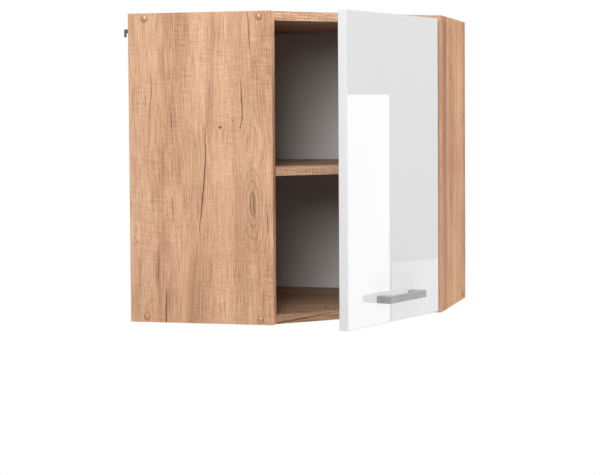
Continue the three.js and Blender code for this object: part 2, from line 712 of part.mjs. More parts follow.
const door = new THREE.Group();
door.add(doorPanel(), handle(), handleScrew(0), handleScrew(1), bumper('top'), bumper('bottom'));
for (const level of Object.keys(hingeHeights)) {
  door.add(hingeCup(level));
  for (const { name, place } of cupScrewPlaces(level)) {
    door.add(piece(name, turned(panScrewProfile(smallScrew), hiddenSides, facing.back, place), steel));
  }
}
door.position.set(-cupPin.along, -cupPin.out, 0);
const doorTurn = new THREE.Group();
doorTurn.position.set(cupPin.along - armPin.along, cupPin.out - armPin.out, 0);
doorTurn.rotation.z = opened - linkTurn;
doorTurn.add(door);
const doorLinks = linkFrame();
doorLinks.add(doorTurn);
cabinet.add(shutFrame().add(doorLinks));

cabinet.updateMatrixWorld(true);

export default cabinet;
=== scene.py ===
import json
import math

import bmesh
import bpy
from mathutils import Matrix, Vector


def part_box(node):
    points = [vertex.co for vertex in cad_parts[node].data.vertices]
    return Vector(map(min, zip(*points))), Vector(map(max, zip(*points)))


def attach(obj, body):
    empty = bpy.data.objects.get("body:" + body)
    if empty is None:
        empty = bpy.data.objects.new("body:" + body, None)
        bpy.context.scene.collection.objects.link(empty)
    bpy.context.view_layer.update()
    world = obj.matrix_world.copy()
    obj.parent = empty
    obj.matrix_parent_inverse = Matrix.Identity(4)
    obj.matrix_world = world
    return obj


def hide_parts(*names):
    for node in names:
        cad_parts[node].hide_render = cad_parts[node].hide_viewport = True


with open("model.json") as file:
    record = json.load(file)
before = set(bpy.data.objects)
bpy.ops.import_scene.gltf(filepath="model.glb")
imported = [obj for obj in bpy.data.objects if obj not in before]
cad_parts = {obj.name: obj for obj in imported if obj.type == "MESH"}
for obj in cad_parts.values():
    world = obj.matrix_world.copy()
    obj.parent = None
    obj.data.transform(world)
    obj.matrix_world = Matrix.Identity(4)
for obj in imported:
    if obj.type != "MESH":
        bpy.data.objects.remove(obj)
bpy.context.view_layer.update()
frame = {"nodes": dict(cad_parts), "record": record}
nodes = frame["nodes"]
scene = bpy.context.scene


def placed(name, data):
    thing = bpy.data.objects.new(name, data)
    scene.collection.objects.link(thing)
    return thing


# node graphs: values are written as Python expressions

class Wire:
    def __init__(self, graph, socket):
        self.graph, self.socket = graph, socket

    def math(self, operation, *others):
        inputs = dict(enumerate((self, *others)))
        return self.graph.add("ShaderNodeMath", {"operation": operation}, inputs)

    def __add__(self, other):
        return self.math("ADD", other)

    def __sub__(self, other):
        return self.math("SUBTRACT", other)

    def __mul__(self, other):
        return self.math("MULTIPLY", other)

    def __truediv__(self, other):
        return self.math("DIVIDE", other)

    def __pow__(self, other):
        return self.math("POWER", other)

    def __rsub__(self, other):
        return (self * -1) + other

    __radd__ = __add__
    __rmul__ = __mul__

    def between(self, low, high):  # 0 below low, 1 above high, smooth in between
        settings = {"interpolation_type": "SMOOTHSTEP"}
        return self.graph.add("ShaderNodeMapRange", settings, {0: self, 1: low, 2: high})


class Graph:
    def __init__(self, tree):
        self.tree = tree

    def add(self, kind, settings=None, inputs=None, output=0):
        node = self.tree.nodes.new(kind)
        for name, value in (settings or {}).items():
            if name == "stops":
                setStops(node.color_ramp, value)
            else:
                setattr(node, name, value)
        for key, value in (inputs or {}).items():
            self.give(node.inputs[key], value)
        return Wire(self, node.outputs[output])

    def give(self, socket, value):  # to a constant, a wire or a list of wires
        if isinstance(value, Wire):
            self.tree.links.new(value.socket, socket)
        elif isinstance(value, list):
            for wire in value:
                self.give(socket, wire)
        else:
            socket.default_value = value

    def outlet(self, wire):  # what a node group gives
        self.give(self.tree.nodes.new("NodeGroupOutput").inputs[0], wire)
        return self.tree

    def vector(self, x, y, z):
        return self.add("ShaderNodeCombineXYZ", None, {0: x, 1: y, 2: z})

    def split(self, vector):
        parts = self.add("ShaderNodeSeparateXYZ", None, {0: vector}).socket.node
        return [Wire(self, socket) for socket in parts.outputs]

    def scaled(self, factor):  # the object coordinates, magnified
        settings = {"operation": "SCALE"}
        return self.add("ShaderNodeVectorMath", settings, {0: self.place, "Scale": factor})

    def noise(self, place, detail=2.0, roughness=0.5):
        inputs = {"Vector": place, "Scale": 1.0, "Detail": detail, "Roughness": roughness}
        return self.add("ShaderNodeTexNoise", None, inputs)

    def cells(self, place):  # one flat value in each cell
        colour = self.add("ShaderNodeTexVoronoi", None, {"Vector": place, "Scale": 1.0}, 1)
        return self.add("ShaderNodeSeparateColor", None, {0: colour})

    def bump(self, strength, distance, height):
        inputs = {"Strength": strength, "Distance": distance, "Height": height}
        return self.add("ShaderNodeBump", None, inputs)

    def mix(self, factor, first, second, blend="MIX"):  # a colour is a wire or three numbers
        first, second = ((*c, 1.0) if isinstance(c, tuple) else c for c in (first, second))
        settings = {"data_type": "RGBA", "blend_type": blend}
        return self.add("ShaderNodeMix", settings, {0: factor, 6: first, 7: second}, 2)

    def tinted(self, colour, tone):
        return self.mix(1.0, colour, tone, "MULTIPLY")


def setStops(ramp, stops):
    while len(ramp.elements) < len(stops):
        ramp.elements.new(0.5)
    for element, (place, colour) in zip(ramp.elements, stops):
        element.position = place
        element.color = (*colour, 1.0)


def newGroup(kind, name, inputs, output):
    # a node group, whose sockets are given as their names and types
    tree = bpy.data.node_groups.new(name, kind)
    for way, sockets in (("INPUT", inputs), ("OUTPUT", output)):
        for socket, holds in sockets.items():
            tree.interface.new_socket(socket, in_out=way, socket_type="NodeSocket" + holds)
    graph = Graph(tree)
    entry = tree.nodes.new("NodeGroupInput")
    return graph, {socket.name: Wire(graph, socket) for socket in entry.outputs if socket.name}


def newMaterial(name):
    material = bpy.data.materials.new(name)
    material.use_nodes = True
    graph = Graph(material.node_tree)
    shader = material.node_tree.nodes["Principled BSDF"]
    graph.place = graph.add("ShaderNodeTexCoord", None, None, 3)  # object coordinates
    return material, graph, shader


def feed(graph, shader, **inputs):
    for name, value in inputs.items():
        graph.give(shader.inputs[name.replace("_", " ")], value)


# oak: fibres, streaks, long splits and knots

oakSizes = {
    "dark": (0.300, 0.150, 0.080), "mid": (0.545, 0.308, 0.180), "light": (0.720, 0.460, 0.300),
    "stops": (0.10, 0.50, 0.90), "middle": 0.54, "split": (0.115, 0.040, 0.010),
    "planksAcross": 20.0, "planksAlong": 1.3, "depthShare": 0.6, "depthRate": 9,
    "bend": 0.016, "bendAcross": 5, "bendAlong": 1.7,
    "wobble": 0.0030, "wobbleAcross": 2, "wobbleAlong": 70,
    "splitEdge": 0.90, "shadeEdge": 1.0, "splitFibres": 0.9, "splitFill": 0.58, "splitMost": 0.92,
    "splitDepth": 1.4, "paintedLightHeight": 0.6, "rawDepth": 0.00015,
    "bump": (0.16, 0.0006), "roughness": 0.5, "rougher": 0.16, "specular": 0.35,
}
# each layer of noise: repeats per metre across and along, its own seed, detail and roughness
grainLayers = {
    "bands": (17.0, 1.5, 0, 3.0, 0.55), "streaks": (120.0, 5, 3, 3.0, 0.65),
    "fibres": (520.0, 15, 7, 2.0, 0.7), "threads": (210.0, 8, 23, 1.0, 0.5),
    "pores": (1100.0, 55, 11, 1.0, 0.5), "ticks": (300, 26, 17, 1.0, 0.5),
}
flatLayers = {  # these don't bend with the grain
    "saw": (30, 240, 5, 2.0, 0.6), "patch": (11, 7, 2, 1.0, 0.5),
    "clouds": (8, 5, 1, 3.0, 0.5), "mottle": (480, 260, 29, 2.0, 0.6),
}
layerWeights = {"bands": 0.75, "streaks": 0.20, "fibres": 1.5, "clouds": 0.55, "mottle": 0.80}
markWeights = {"planks": 0.22, "saw": 0.62, "threads": 0.12, "pores": 0.25, "ticks": 0.6}
markLimits = {
    "patch": (0.40, 0.62), "threads": (0.58, 0.72), "pores": (0.60, 0.74), "ticks": (0.68, 0.78),
}
reliefWeights = {"fibres": 0.5, "pores": -0.6, "streaks": 0.35}


def markGroup(name, inputs, build):
    # a node group with one value out; build gets its inputs by name
    graph, given = newGroup("ShaderNodeTree", name, dict.fromkeys(inputs, "Float"),
                            {"Mark": "Float"})
    return graph.outlet(build(given))


markSizes = {
    "lengths": 3, "tip": 0.25, "thinnest": 1e-5, "borderEdge": 0.0004, "borderEnds": 0.05,
    "pull": 0.75, "pullFade": -0.18, "coreEdge": 0.35, "ringRate": 8, "ringWaver": 5,
    "ringEdge": (0.35, 0.95), "ringFade": -0.12,
}


def offPath(given):
    # distance across to a line of equal lengths, each with its own bend
    path = given["Start"]
    for i in range(markSizes["lengths"]):
        climbed = (given["Along"] - given["Low"]) / given["Rise"] * markSizes["lengths"] - i
        path = path + climbed.math("MAXIMUM", 0.0).math("MINIMUM", 1.0) * given[f"Bend{i + 1}"]
    return given["Across"] - path


def buildSplit(given):
    off = (given["Along"] - given["Low"]) / given["Rise"] * 2 - 1
    taper = (1 - off * off).math("MAXIMUM", 0.0)  # narrows to nothing at both ends
    away = offPath(given).math("ABSOLUTE")
    inside = 1 - away / (taper * given["Half"] + markSizes["thinnest"])
    inside = inside.math("MAXIMUM", 0.0).between(0, given["Edge"])
    return inside * taper.between(0, markSizes["tip"]) * given["Strength"]


def buildBorder(given):
    edge, fade = markSizes["borderEdge"], markSizes["borderEnds"]
    side = offPath(given) * given["Reach"].math("SIGN")
    mask = (1 - side / given["Reach"].math("ABSOLUTE")).math("MAXIMUM", 0.0)
    mask = mask * side.between(-edge, edge)
    climbed = given["Along"] - given["Low"]
    ends = climbed.between(0, fade) * (given["Rise"] - climbed).between(0, fade)
    return mask * ends * given["Strength"]


def nearKnot(given):
    dx = (given["Across"] - given["X"]) / given["Wide"]
    dz = (given["Along"] - given["Z"]) / given["Tall"]
    return (dx * dx + dz * dz).math("SQRT")


def fading(near, rate):
    return (near * near * rate).math("EXPONENT")


def buildPull(given):
    away = given["Across"] - given["X"]
    return fading(nearKnot(given), markSizes["pullFade"]) * away * markSizes["pull"]


def buildKnot(given):
    near = nearKnot(given)
    core = (1 - near.between(markSizes["coreEdge"], 1.0)) * given["Core"]
    rings = (near * markSizes["ringRate"] + given["Streaks"] * markSizes["ringWaver"]).math("SINE")
    rings = rings.between(*markSizes["ringEdge"]) * fading(near, markSizes["ringFade"])
    return core.math("MAXIMUM", rings * given["Rings"])


pathInputs = ["Across", "Along", "Low", "Rise", "Start"]
pathInputs += [f"Bend{i + 1}" for i in range(markSizes["lengths"])]
knotInputs = ["Across", "Along", "X", "Z", "Wide", "Tall"]
splitTree = markGroup("splitMark", pathInputs + ["Half", "Edge", "Strength"], buildSplit)
borderTree = markGroup("borderMark", pathInputs + ["Reach", "Strength"], buildBorder)
pullTree = markGroup("knotPull", knotInputs, buildPull)
knotTree = markGroup("knotMark", knotInputs + ["Streaks", "Core", "Rings"], buildKnot)


def pathValues(across, along, points):
    # the same path cut into lengths of equal height
    low, high, lengths = points[0][1], points[-1][1], markSizes["lengths"]
    places = []
    for i in range(lengths + 1):
        z = low + (high - low) * i / lengths
        for (x0, z0), (x1, z1) in zip(points, points[1:]):
            if z0 - 1e-9 <= z <= z1 + 1e-9:
                places.append(x0 + (x1 - x0) * (z - z0) / (z1 - z0))
                break
    bends = {f"Bend{i + 1}": places[i + 1] - places[i] for i in range(lengths)}
    return {"Across": across, "Along": along, "Low": low, "Rise": high - low, "Start": places[0],
            **bends}


def chipboard(graph):
    sizes = {"chipsPerMetre": 520.0, "cells": 0.7, "grit": 0.3,
             "dark": (0.30, 0.19, 0.10), "light": (0.62, 0.46, 0.29)}
    chips = graph.scaled(sizes["chipsPerMetre"])
    tone = graph.cells(chips) * sizes["cells"] + graph.noise(chips) * sizes["grit"]
    return graph.mix(tone, sizes["dark"], sizes["light"])


def mark(graph, tree, inputs):
    return graph.add("ShaderNodeGroup", {"node_tree": tree}, inputs)


def darker(first, second):
    return second if first is None else first.math("MAXIMUM", second)


def oakMaterial(name, acrossAxis, alongAxis, seed, splits=(), knots=(), shades=(), borders=(),
                tone=None, contrast=1.0, fade=None, raw=()):
    material, graph, shader = newMaterial(name)
    axes = dict(zip("XYZ", graph.split(graph.place)))
    sizes = oakSizes
    dark, mid, light = sizes["dark"], sizes["mid"], sizes["light"]

    def axis(weights):  # a mix of the three axes
        total = None
        for letter, weight in weights.items():
            term = axes[letter] * weight if weight != 1 else axes[letter]
            total = term if total is None else total + term
        return total

    across, along = axis(acrossAxis), axis(alongAxis)
    unused = [letter for letter in "XYZ" if letter not in acrossAxis and letter not in alongAxis]
    depth = axes[unused[0]] * sizes["depthShare"] if unused else 0.0
    swing = graph.vector(across * sizes["bendAcross"], along * sizes["bendAlong"],
                         depth * sizes["bendAcross"] + seed)
    bend = graph.noise(swing) - 0.5
    grain = across + bend * sizes["bend"]

    # the fibres swing round each knot
    for x, z, wide, tall, _, _ in knots:
        place = {"Across": across, "Along": along, "X": x, "Z": z, "Wide": wide, "Tall": tall}
        grain = grain - mark(graph, pullTree, place)

    deep = depth * sizes["depthRate"] + seed
    strips = graph.vector(grain * sizes["planksAcross"], along * sizes["planksAlong"] + bend, deep)
    planks = graph.cells(strips)
    layer = {}
    for source, layers in ((grain, grainLayers), (across, flatLayers)):
        for key, (acrossRate, alongRate, shift, detail, roughness) in layers.items():
            place = graph.vector(source * acrossRate, along * alongRate, deep + shift)
            layer[key] = graph.noise(place, detail, roughness)

    def marked(key):
        return layer[key].between(*markLimits[key])

    tint = (planks - 0.5) * markWeights["planks"]
    for key, weight in layerWeights.items():
        tint = tint + (layer[key] - 0.5) * weight
    tint = tint + (layer["saw"] - 0.5) * marked("patch") * markWeights["saw"]
    tint = tint - marked("threads") * markWeights["threads"]
    tint = tint * contrast + sizes["middle"]
    stops = list(zip(sizes["stops"], (dark, mid, light)))
    colour = graph.add("ShaderNodeValToRGB", {"stops": stops}, {0: tint})
    pores, ticks = (marked(key) * markWeights[key] for key in ("pores", "ticks"))
    colour = graph.mix(pores.math("MAXIMUM", ticks), colour, dark)

    waver = graph.vector(along * sizes["wobbleAlong"], across * sizes["wobbleAcross"], seed)
    shifted = across - (graph.noise(waver, 3.0, 0.6) - 0.5) * sizes["wobble"]
    cracks = None
    for points, half, strength in splits:
        values = {**pathValues(shifted, along, points), "Half": half, "Edge": sizes["splitEdge"],
                  "Strength": strength}
        cracks = darker(cracks, mark(graph, splitTree, values))
    for points, half, strength in shades:
        values = {**pathValues(shifted, along, points), "Half": half, "Edge": sizes["shadeEdge"],
                  "Strength": strength}
        colour = graph.mix(mark(graph, splitTree, values), colour, dark)
    for points, reach, strength in borders:
        values = {**pathValues(shifted, along, points), "Reach": reach, "Strength": strength}
        colour = graph.mix(mark(graph, borderTree, values), colour, dark)
    for x, z, wide, tall, core, rings in knots:
        values = {"Across": across, "Along": along, "Streaks": layer["streaks"], "X": x, "Z": z,
                  "Wide": wide, "Tall": tall, "Core": core, "Rings": rings}
        cracks = darker(cracks, mark(graph, knotTree, values))
    fibres = layer["fibres"]
    height = fibres * reliefWeights["fibres"]
    for key in ("pores", "streaks"):
        height = height + layer[key] * reliefWeights[key]
    if cracks is not None:
        ragged = cracks * (fibres * sizes["splitFibres"] + sizes["splitFill"])
        colour = graph.mix(ragged.math("MINIMUM", sizes["splitMost"]), colour, sizes["split"])
        height = height - cracks * sizes["splitDepth"]
    # painted light and shade: the colour is tinted darker low down and lighter higher up, as light
    # from above would fall
    if fade:
        low, high = fade
        colour = graph.mix(axes["Z"].between(0, sizes["paintedLightHeight"]), graph.tinted(colour, low),
                           graph.tinted(colour, high))
    if tone:
        colour = graph.tinted(colour, tone)
    for letter, sign, limit in raw:
        start = limit * sign
        edge = (axes[letter] * sign).between(start - sizes["rawDepth"], start)
        colour = graph.mix(edge, colour, chipboard(graph))

    feed(graph, shader, Base_Color=colour, Normal=graph.bump(*sizes["bump"], height),
         Roughness=sizes["roughness"] + fibres * sizes["rougher"],
         Specular_IOR_Level=sizes["specular"])
    return material


# each split or shade: the points it runs through (across, along), half its width, its strength
leftSplits = [
    (((0.1395, 0.160), (0.1461, 0.214), (0.1517, 0.257), (0.1557, 0.307), (0.1556, 0.390)),
     0.0024, 1.0),
    (((0.1557, 0.300), (0.1560, 0.372)), 0.0018, 0.8),
    (((0.2467, 0.510), (0.2442, 0.566), (0.2421, 0.615)), 0.0018, 0.75),
    (((0.0449, 0.362), (0.0419, 0.421), (0.0493, 0.461), (0.0443, 0.497)), 0.0016, 0.62),
    (((0.2250, 0.366), (0.2313, 0.397), (0.2295, 0.426), (0.2273, 0.480)), 0.0019, 1.0),
    (((0.0590, 0.030), (0.0571, 0.107), (0.0600, 0.170)), 0.0016, 0.60),
    (((0.0714, -0.060), (0.0741, 0.070)), 0.0021, 1.0),
    (((0.0722, 0.285), (0.0692, 0.364)), 0.0013, 0.6),
    (((0.0870, 0.370), (0.0878, 0.412)), 0.0014, 0.85),
    (((0.0915, 0.366), (0.0925, 0.400)), 0.0011, 0.6),
    (((0.2526, 0.200), (0.2535, 0.232), (0.2478, 0.262)), 0.0018, 1.0),
    (((0.2500, 0.205), (0.2455, 0.228), (0.2450, 0.256)), 0.0014, 0.85),
    (((0.2803, 0.170), (0.2791, 0.218)), 0.0016, 0.95),
    (((0.0897, 0.190), (0.0879, 0.250)), 0.0014, 0.75),
]
# each knot: its middle, half its width and height, how dark its core and its rings are
leftKnots = [
    (0.1856, 0.379, 0.0058, 0.0046, 0.72, 0.10), (0.2114, 0.392, 0.0020, 0.0020, 0.8, 0.0),
    (0.2262, 0.379, 0.0028, 0.0022, 0.85, 0.0), (0.1353, 0.346, 0.0018, 0.0028, 0.7, 0.0),
    (0.2075, 0.134, 0.0016, 0.0022, 0.7, 0.0), (0.0143, 0.156, 0.0020, 0.0024, 0.7, 0.0),
    (0.2500, 0.233, 0.0085, 0.0300, 0.18, 0.34), (0.2460, 0.345, 0.0110, 0.0260, 0.06, 0.15),
]
leftShades = [
    (((0.1564, 0.360), (0.1675, 0.480)), 0.0070, 0.35),
    (((0.1182, -0.060), (0.1255, 0.055), (0.1390, 0.160)), 0.0090, 0.40),
    (((0.2480, 0.160), (0.2500, 0.300)), 0.0120, 0.30),
    (((0.0620, -0.100), (0.0600, 0.150)), 0.0050, 0.35),
]
# plank borders: the points, how far the darker side reaches (to the right where positive) and
# its strength
leftBorders = [
    (((0.1706, 0.330), (0.1740, 0.498), (0.1797, 0.640)), -0.020, 0.42),
    (((0.2130, -0.050), (0.2140, 0.250), (0.2080, 0.450)), 0.055, 0.24),
    (((0.0150, -0.050), (0.0140, 0.650)), -0.014, 0.20),
    (((0.0700, 0.050), (0.0720, 0.330)), -0.022, 0.26),
    (((0.1330, -0.060), (0.1500, 0.180)), -0.030, 0.30),
    (((0.2620, -0.050), (0.2650, 0.330)), -0.012, 0.22),
    (((0.2050, 0.400), (0.2070, 0.640)), 0.070, 0.26),
    (((0.1000, 0.300), (0.0980, 0.640)), 0.030, 0.14),
]
rightSplits = [
    (((-0.1860, -0.030), (-0.1700, 0.180), (-0.1640, 0.350)), 0.0030, 0.45),
    (((-0.1123, 0.360), (-0.1110, 0.680)), 0.0034, 0.75),
    (((-0.1040, 0.000), (-0.0960, 0.200), (-0.0910, 0.420)), 0.0032, 0.60),
    (((-0.2432, 0.460), (-0.2311, 0.680)), 0.0040, 0.90),
    (((-0.1480, 0.150), (-0.1430, 0.350), (-0.1440, 0.540)), 0.0032, 0.85),
    (((-0.0480, 0.080), (-0.0450, 0.260)), 0.0026, 0.60),
    (((-0.2050, 0.300), (-0.2010, 0.470)), 0.0026, 0.60),
]
rightShades = [
    (((-0.2440, -0.20), (-0.2520, 0.85)), 0.0460, 0.62),
    (((-0.1850, -0.10), (-0.1750, 0.50)), 0.0080, 0.14),
    (((-0.0700, -0.20), (-0.0620, 0.55)), 0.0120, 0.26),
    (((-0.0150, -0.20), (-0.0130, 0.80)), 0.0090, 0.40),
]
boardSplits = [
    (((-0.205, 0.10), (-0.196, 0.33)), 0.0014, 0.8),
    (((-0.330, 0.20), (-0.336, 0.42)), 0.0012, 0.8),
]

# edges that face the walls: axis, its side, and where they start
rawRear = {
    "left": [("X", -1, 0.0003)], "right": [("Y", 1, -0.0003)],
    "both": [("X", -1, 0.0003), ("Y", 1, -0.0003)],
    "shelf": [("X", -1, 0.0229), ("Y", 1, -0.0229)],
}
diagonalAlong = {"X": math.sqrt(0.5), "Y": math.sqrt(0.5)}
edgeAcross = {"X": 1, "Y": 0.8}
bandCracks = [(((-0.0030, -0.230), (0.0145, -0.050)), 0.0022, 1.0)]

oakLeft = oakMaterial("oakLeftPanel", {"X": 1}, {"Z": 1}, 2.0, leftSplits, leftKnots, leftShades,
                      leftBorders, (1.065, 1.070, 1.085), 0.92, raw=rawRear["left"])
oakRight = oakMaterial("oakRightPanel", {"Y": 1}, {"Z": 1}, 9.0, rightSplits,
                       [(-0.172, 0.230, 0.005, 0.014, 0.3, 0.3)], rightShades,
                       tone=(1.08, 1.02, 0.96), raw=rawRear["right"])
oakTop = oakMaterial("oakTopBoard", {"Y": 1}, {"X": 1}, 14.0, boardSplits,
                     [(-0.26, 0.15, 0.005, 0.012, 0.6, 0.4)],
                     tone=(0.84, 0.82, 0.84), raw=rawRear["both"])
oakBottom = oakMaterial("oakBottomBoard", {"Y": 1}, {"X": 1}, 21.0, boardSplits,
                        [(-0.15, 0.33, 0.004, 0.014, 0.6, 0.4)],
                        tone=(0.80, 0.84, 0.86), raw=rawRear["both"])
oakShelf = oakMaterial("oakShelf", {"Y": 1}, {"X": 1}, 27.0, tone=(0.74, 0.78, 0.80),
                       raw=rawRear["shelf"])
# the level front bands: painted shade low down and painted light higher up, through fade
oakBandLevel = oakMaterial("oakBandLevel", {"Z": 1}, diagonalAlong, 33.0, bandCracks, contrast=1.3,
                           fade=((0.86, 0.88, 0.92), (1.20, 1.27, 1.38)))
# the left panel's front band: a lighter edge band, brightened further by painted light
oakBandUpright = oakMaterial("oakBandUpright", edgeAcross, {"Z": 1}, 38.0,
                             tone=(1.85, 1.83, 1.83), contrast=0.8)
oakBandRight = oakMaterial("oakBandRight", edgeAcross, {"Z": 1}, 44.0,
                           tone=(0.92, 0.92, 0.94), contrast=0.8)
print("oak materials made")


# plain finishes

def glossWhite():
    sizes = {"light": (0.725, 0.725, 0.730), "dark": (0.705, 0.705, 0.710), "clouding": 0.5,
             "cloudsPerMetre": 9.0, "ripplesPerMetre": 26.0, "bump": (0.012, 0.0003),
             "roughness": 0.004, "rougher": 0.008, "refraction": 1.5}
    material, graph, shader = newMaterial("whiteGloss")
    cloud = graph.noise(graph.scaled(sizes["cloudsPerMetre"]))
    ripple = graph.noise(graph.scaled(sizes["ripplesPerMetre"]), 1.0)
    colour = graph.mix(cloud * sizes["clouding"], sizes["light"], sizes["dark"])
    feed(graph, shader, Base_Color=colour, Normal=graph.bump(*sizes["bump"], ripple),
         Roughness=sizes["roughness"] + cloud * sizes["rougher"], IOR=sizes["refraction"])
    return material


def backingBoard(name, letter, sign, limit):
    # white towards the room, bare hardboard towards the wall
    sizes = {"white": ((0.66, 0.65, 0.64), (0.74, 0.73, 0.72), 0.6),
             "brown": ((0.155, 0.078, 0.040), (0.27, 0.150, 0.080), 0.8), "clouds": 0.3,
             "depth": 0.0002, "feltPerMetre": 420.0, "bump": (0.12, 0.0003),
             "roughness": 0.46, "rougher": 0.15}
    material, graph, shader = newMaterial(name)
    felt = graph.noise(graph.scaled(sizes["feltPerMetre"]), 3.0, 0.6)
    cloud = graph.noise(graph.place, 3.0)
    faces = []
    for side in ("white", "brown"):
        dark, light, share = sizes[side]
        faces.append(graph.mix(felt * share + cloud * sizes["clouds"], dark, light))
    across = graph.split(graph.place)["XYZ".index(letter)] * sign
    bare = across.between(limit * sign - sizes["depth"], limit * sign)
    feed(graph, shader, Base_Color=graph.mix(bare, *faces), Normal=graph.bump(*sizes["bump"], felt),
         Roughness=sizes["roughness"] + felt * sizes["rougher"])
    return material


def mouldedPlastic(name, light, dark, roughness, specular=0.5):
    sizes = {"skinPerMetre": 900.0, "bump": (0.06, 0.0002), "rougher": 0.08}
    material, graph, shader = newMaterial(name)
    skin = graph.noise(graph.scaled(sizes["skinPerMetre"]))
    feed(graph, shader, Base_Color=graph.mix(skin, dark, light),
         Normal=graph.bump(*sizes["bump"], skin), Roughness=roughness + skin * sizes["rougher"],
         Specular_IOR_Level=specular)
    return material


def paintedMetal(name, node, heading, light, dark, roughness):
    # fine lines along a bar, and painted shade on its two end faces, which are a little darker
    sizes = {"linesAlong": 26, "linesAcross": 230, "endShadeDepth": 0.0004, "paintedEndShade": (0.79,) * 3,
             "bump": (0.05, 0.0002), "rougher": 0.08}
    material, graph, shader = newMaterial(name)
    x, y, z = graph.split(graph.place)
    wayX, wayY = -math.sin(heading), math.cos(heading)
    places = [v.co.x * wayX + v.co.y * wayY for v in nodes[node].data.vertices]
    first, last, deep = min(places), max(places), sizes["endShadeDepth"]
    along = x * wayX + y * wayY
    depth = x * wayY - y * wayX
    lines = graph.noise(graph.vector(along * sizes["linesAlong"], depth * sizes["linesAcross"],
                                     z * sizes["linesAcross"]), 2.0, 0.6)
    colour = graph.mix(lines, dark, light)
    # painted shade: the two end faces are darker than the bar
    ends = along.between(first + deep * 2, first + deep)
    ends = ends + along.between(last - deep * 2, last - deep)
    colour = graph.mix(ends, colour, graph.tinted(colour, sizes["paintedEndShade"]))
    feed(graph, shader, Base_Color=colour, Normal=graph.bump(*sizes["bump"], lines),
         Roughness=roughness + lines * sizes["rougher"])
    return material


def drawnMetal(name, light, dark, roughness):
    sizes = {"linesPerMetre": (700.0, 700.0, 900.0), "cloudsPerMetre": 60.0, "brushing": 0.7,
             "clouds": 0.3, "bump": (0.05, 0.0001), "rougher": 0.12}
    material, graph, shader = newMaterial(name)
    lines = graph.add("ShaderNodeVectorMath", {"operation": "MULTIPLY"},
                      {0: graph.place, 1: sizes["linesPerMetre"]})
    brushed = graph.noise(lines, 2.0, 0.6)
    cloud = graph.noise(graph.scaled(sizes["cloudsPerMetre"]))
    tone = brushed * sizes["brushing"] + cloud * sizes["clouds"]
    feed(graph, shader, Base_Color=graph.mix(tone, dark, light), Metallic=1.0,
         Normal=graph.bump(*sizes["bump"], brushed),
         Roughness=roughness + brushed * sizes["rougher"])
    return material


whiteGloss = glossWhite()
backingLeft = backingBoard("backingLeft", "X", -1, 0.0173)
backingRight = backingBoard("backingRight", "Y", 1, -0.0173)
capPlastic = mouldedPlastic("capPlastic", (0.50, 0.258, 0.130), (0.44, 0.222, 0.108), 0.22, 1.0)
whitePlastic = mouldedPlastic("whitePlastic", (0.80, 0.80, 0.78), (0.72, 0.72, 0.70), 0.38)
clearBumper = mouldedPlastic("clearBumper", (0.82, 0.83, 0.82), (0.72, 0.73, 0.72), 0.20)
doorHeading = math.radians(28 - 45)  # ajar by 28 degrees, from the diagonal
# the handle, with painted shade on its end faces
handleGrey = paintedMetal("handleGrey", "handle", doorHeading, (0.450, 0.450, 0.453),
                          (0.228, 0.228, 0.231), 0.34)
# painted shade: a darker copy of the zinc steel for the hanger hooks, which sit in shade
hookSteel = drawnMetal("hookSteel", (0.26, 0.27, 0.29), (0.17, 0.18, 0.19), 0.30)
zincSteel = drawnMetal("zincSteel", (0.62, 0.63, 0.65), (0.47, 0.48, 0.50), 0.24)
print("plain finishes made")


# pieces made from the solids

# merge is a distance in metres; the others are angles in degrees
meshLimits = {"merge": 1e-6, "flat": 0.4, "softSolid": 32, "softCopy": 40}


def softened(name, node, body, material, sizes):
    # a copy of the solid with its long outer edges rounded, in place of it
    mesh = nodes[node].data.copy()
    work = bmesh.new()
    work.from_mesh(mesh)
    bmesh.ops.remove_doubles(work, verts=work.verts, dist=meshLimits["merge"])
    bmesh.ops.dissolve_limit(work, angle_limit=math.radians(meshLimits["flat"]),
                             verts=work.verts, edges=work.edges)
    chosen = work.edges.layers.float.new("bevel_weight_edge")
    for edge in work.edges:
        if len(edge.link_faces) != 2:
            continue
        turn = edge.calc_face_angle_signed(0.0)
        if turn > math.radians(sizes["fromAngle"]) and edge.calc_length() > sizes["fromLength"]:
            edge[chosen] = 1.0
    work.to_mesh(mesh)
    work.free()
    mesh.materials.clear()
    mesh.materials.append(material)
    piece = placed(name, mesh)
    bevel = piece.modifiers.new("edge", "BEVEL")
    bevel.limit_method = "WEIGHT"
    bevel.width = sizes["radius"]
    bevel.segments = sizes["steps"]
    bevel.use_clamp_overlap = False
    finished(piece)
    smoothByAngle(piece, meshLimits["softSolid"])
    evened = piece.modifiers.new("evened", "WEIGHTED_NORMAL")
    evened.keep_sharp = True
    evened.weight = 100
    finished(piece)
    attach(piece, body)
    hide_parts(node)


def finished(piece):
    # applies the modifiers, so the piece is a plain mesh
    bpy.context.view_layer.update()
    graph = bpy.context.evaluated_depsgraph_get()
    plain = bpy.data.meshes.new_from_object(piece.evaluated_get(graph), depsgraph=graph)
    piece.modifiers.clear()
    piece.data = plain


def smoothByAngle(piece, degrees):
    work = bmesh.new()
    work.from_mesh(piece.data)
    for face in work.faces:
        face.smooth = True
    for edge in work.edges:
        sharp = len(edge.link_faces) != 2 or edge.calc_face_angle(0.0) > math.radians(degrees)
        edge.smooth = not sharp
    work.to_mesh(piece.data)
    work.free()


boardEdges = {"radius": 0.0005, "steps": 2, "fromAngle": 60, "fromLength": 0.015}
doorEdges = {"radius": 0.0004, "steps": 1, "fromAngle": 60, "fromLength": 0.05}
metalEdges = {"radius": 0.00035, "steps": 2, "fromAngle": 40, "fromLength": 0.002}
slimEdges = {"radius": 0.0003, "steps": 1, "fromAngle": 50, "fromLength": 0.004}
mouldedEdges = {"radius": 0.0010, "steps": 3, "fromAngle": 30, "fromLength": 0.006}

for node, material in (("left_side_panel", oakLeft), ("right_side_panel", oakRight),
                       ("top_panel", oakTop), ("bottom_panel", oakBottom), ("shelf", oakShelf)):
    softened(node + "_board", node, "carcass", material, boardEdges)
print("boards made")

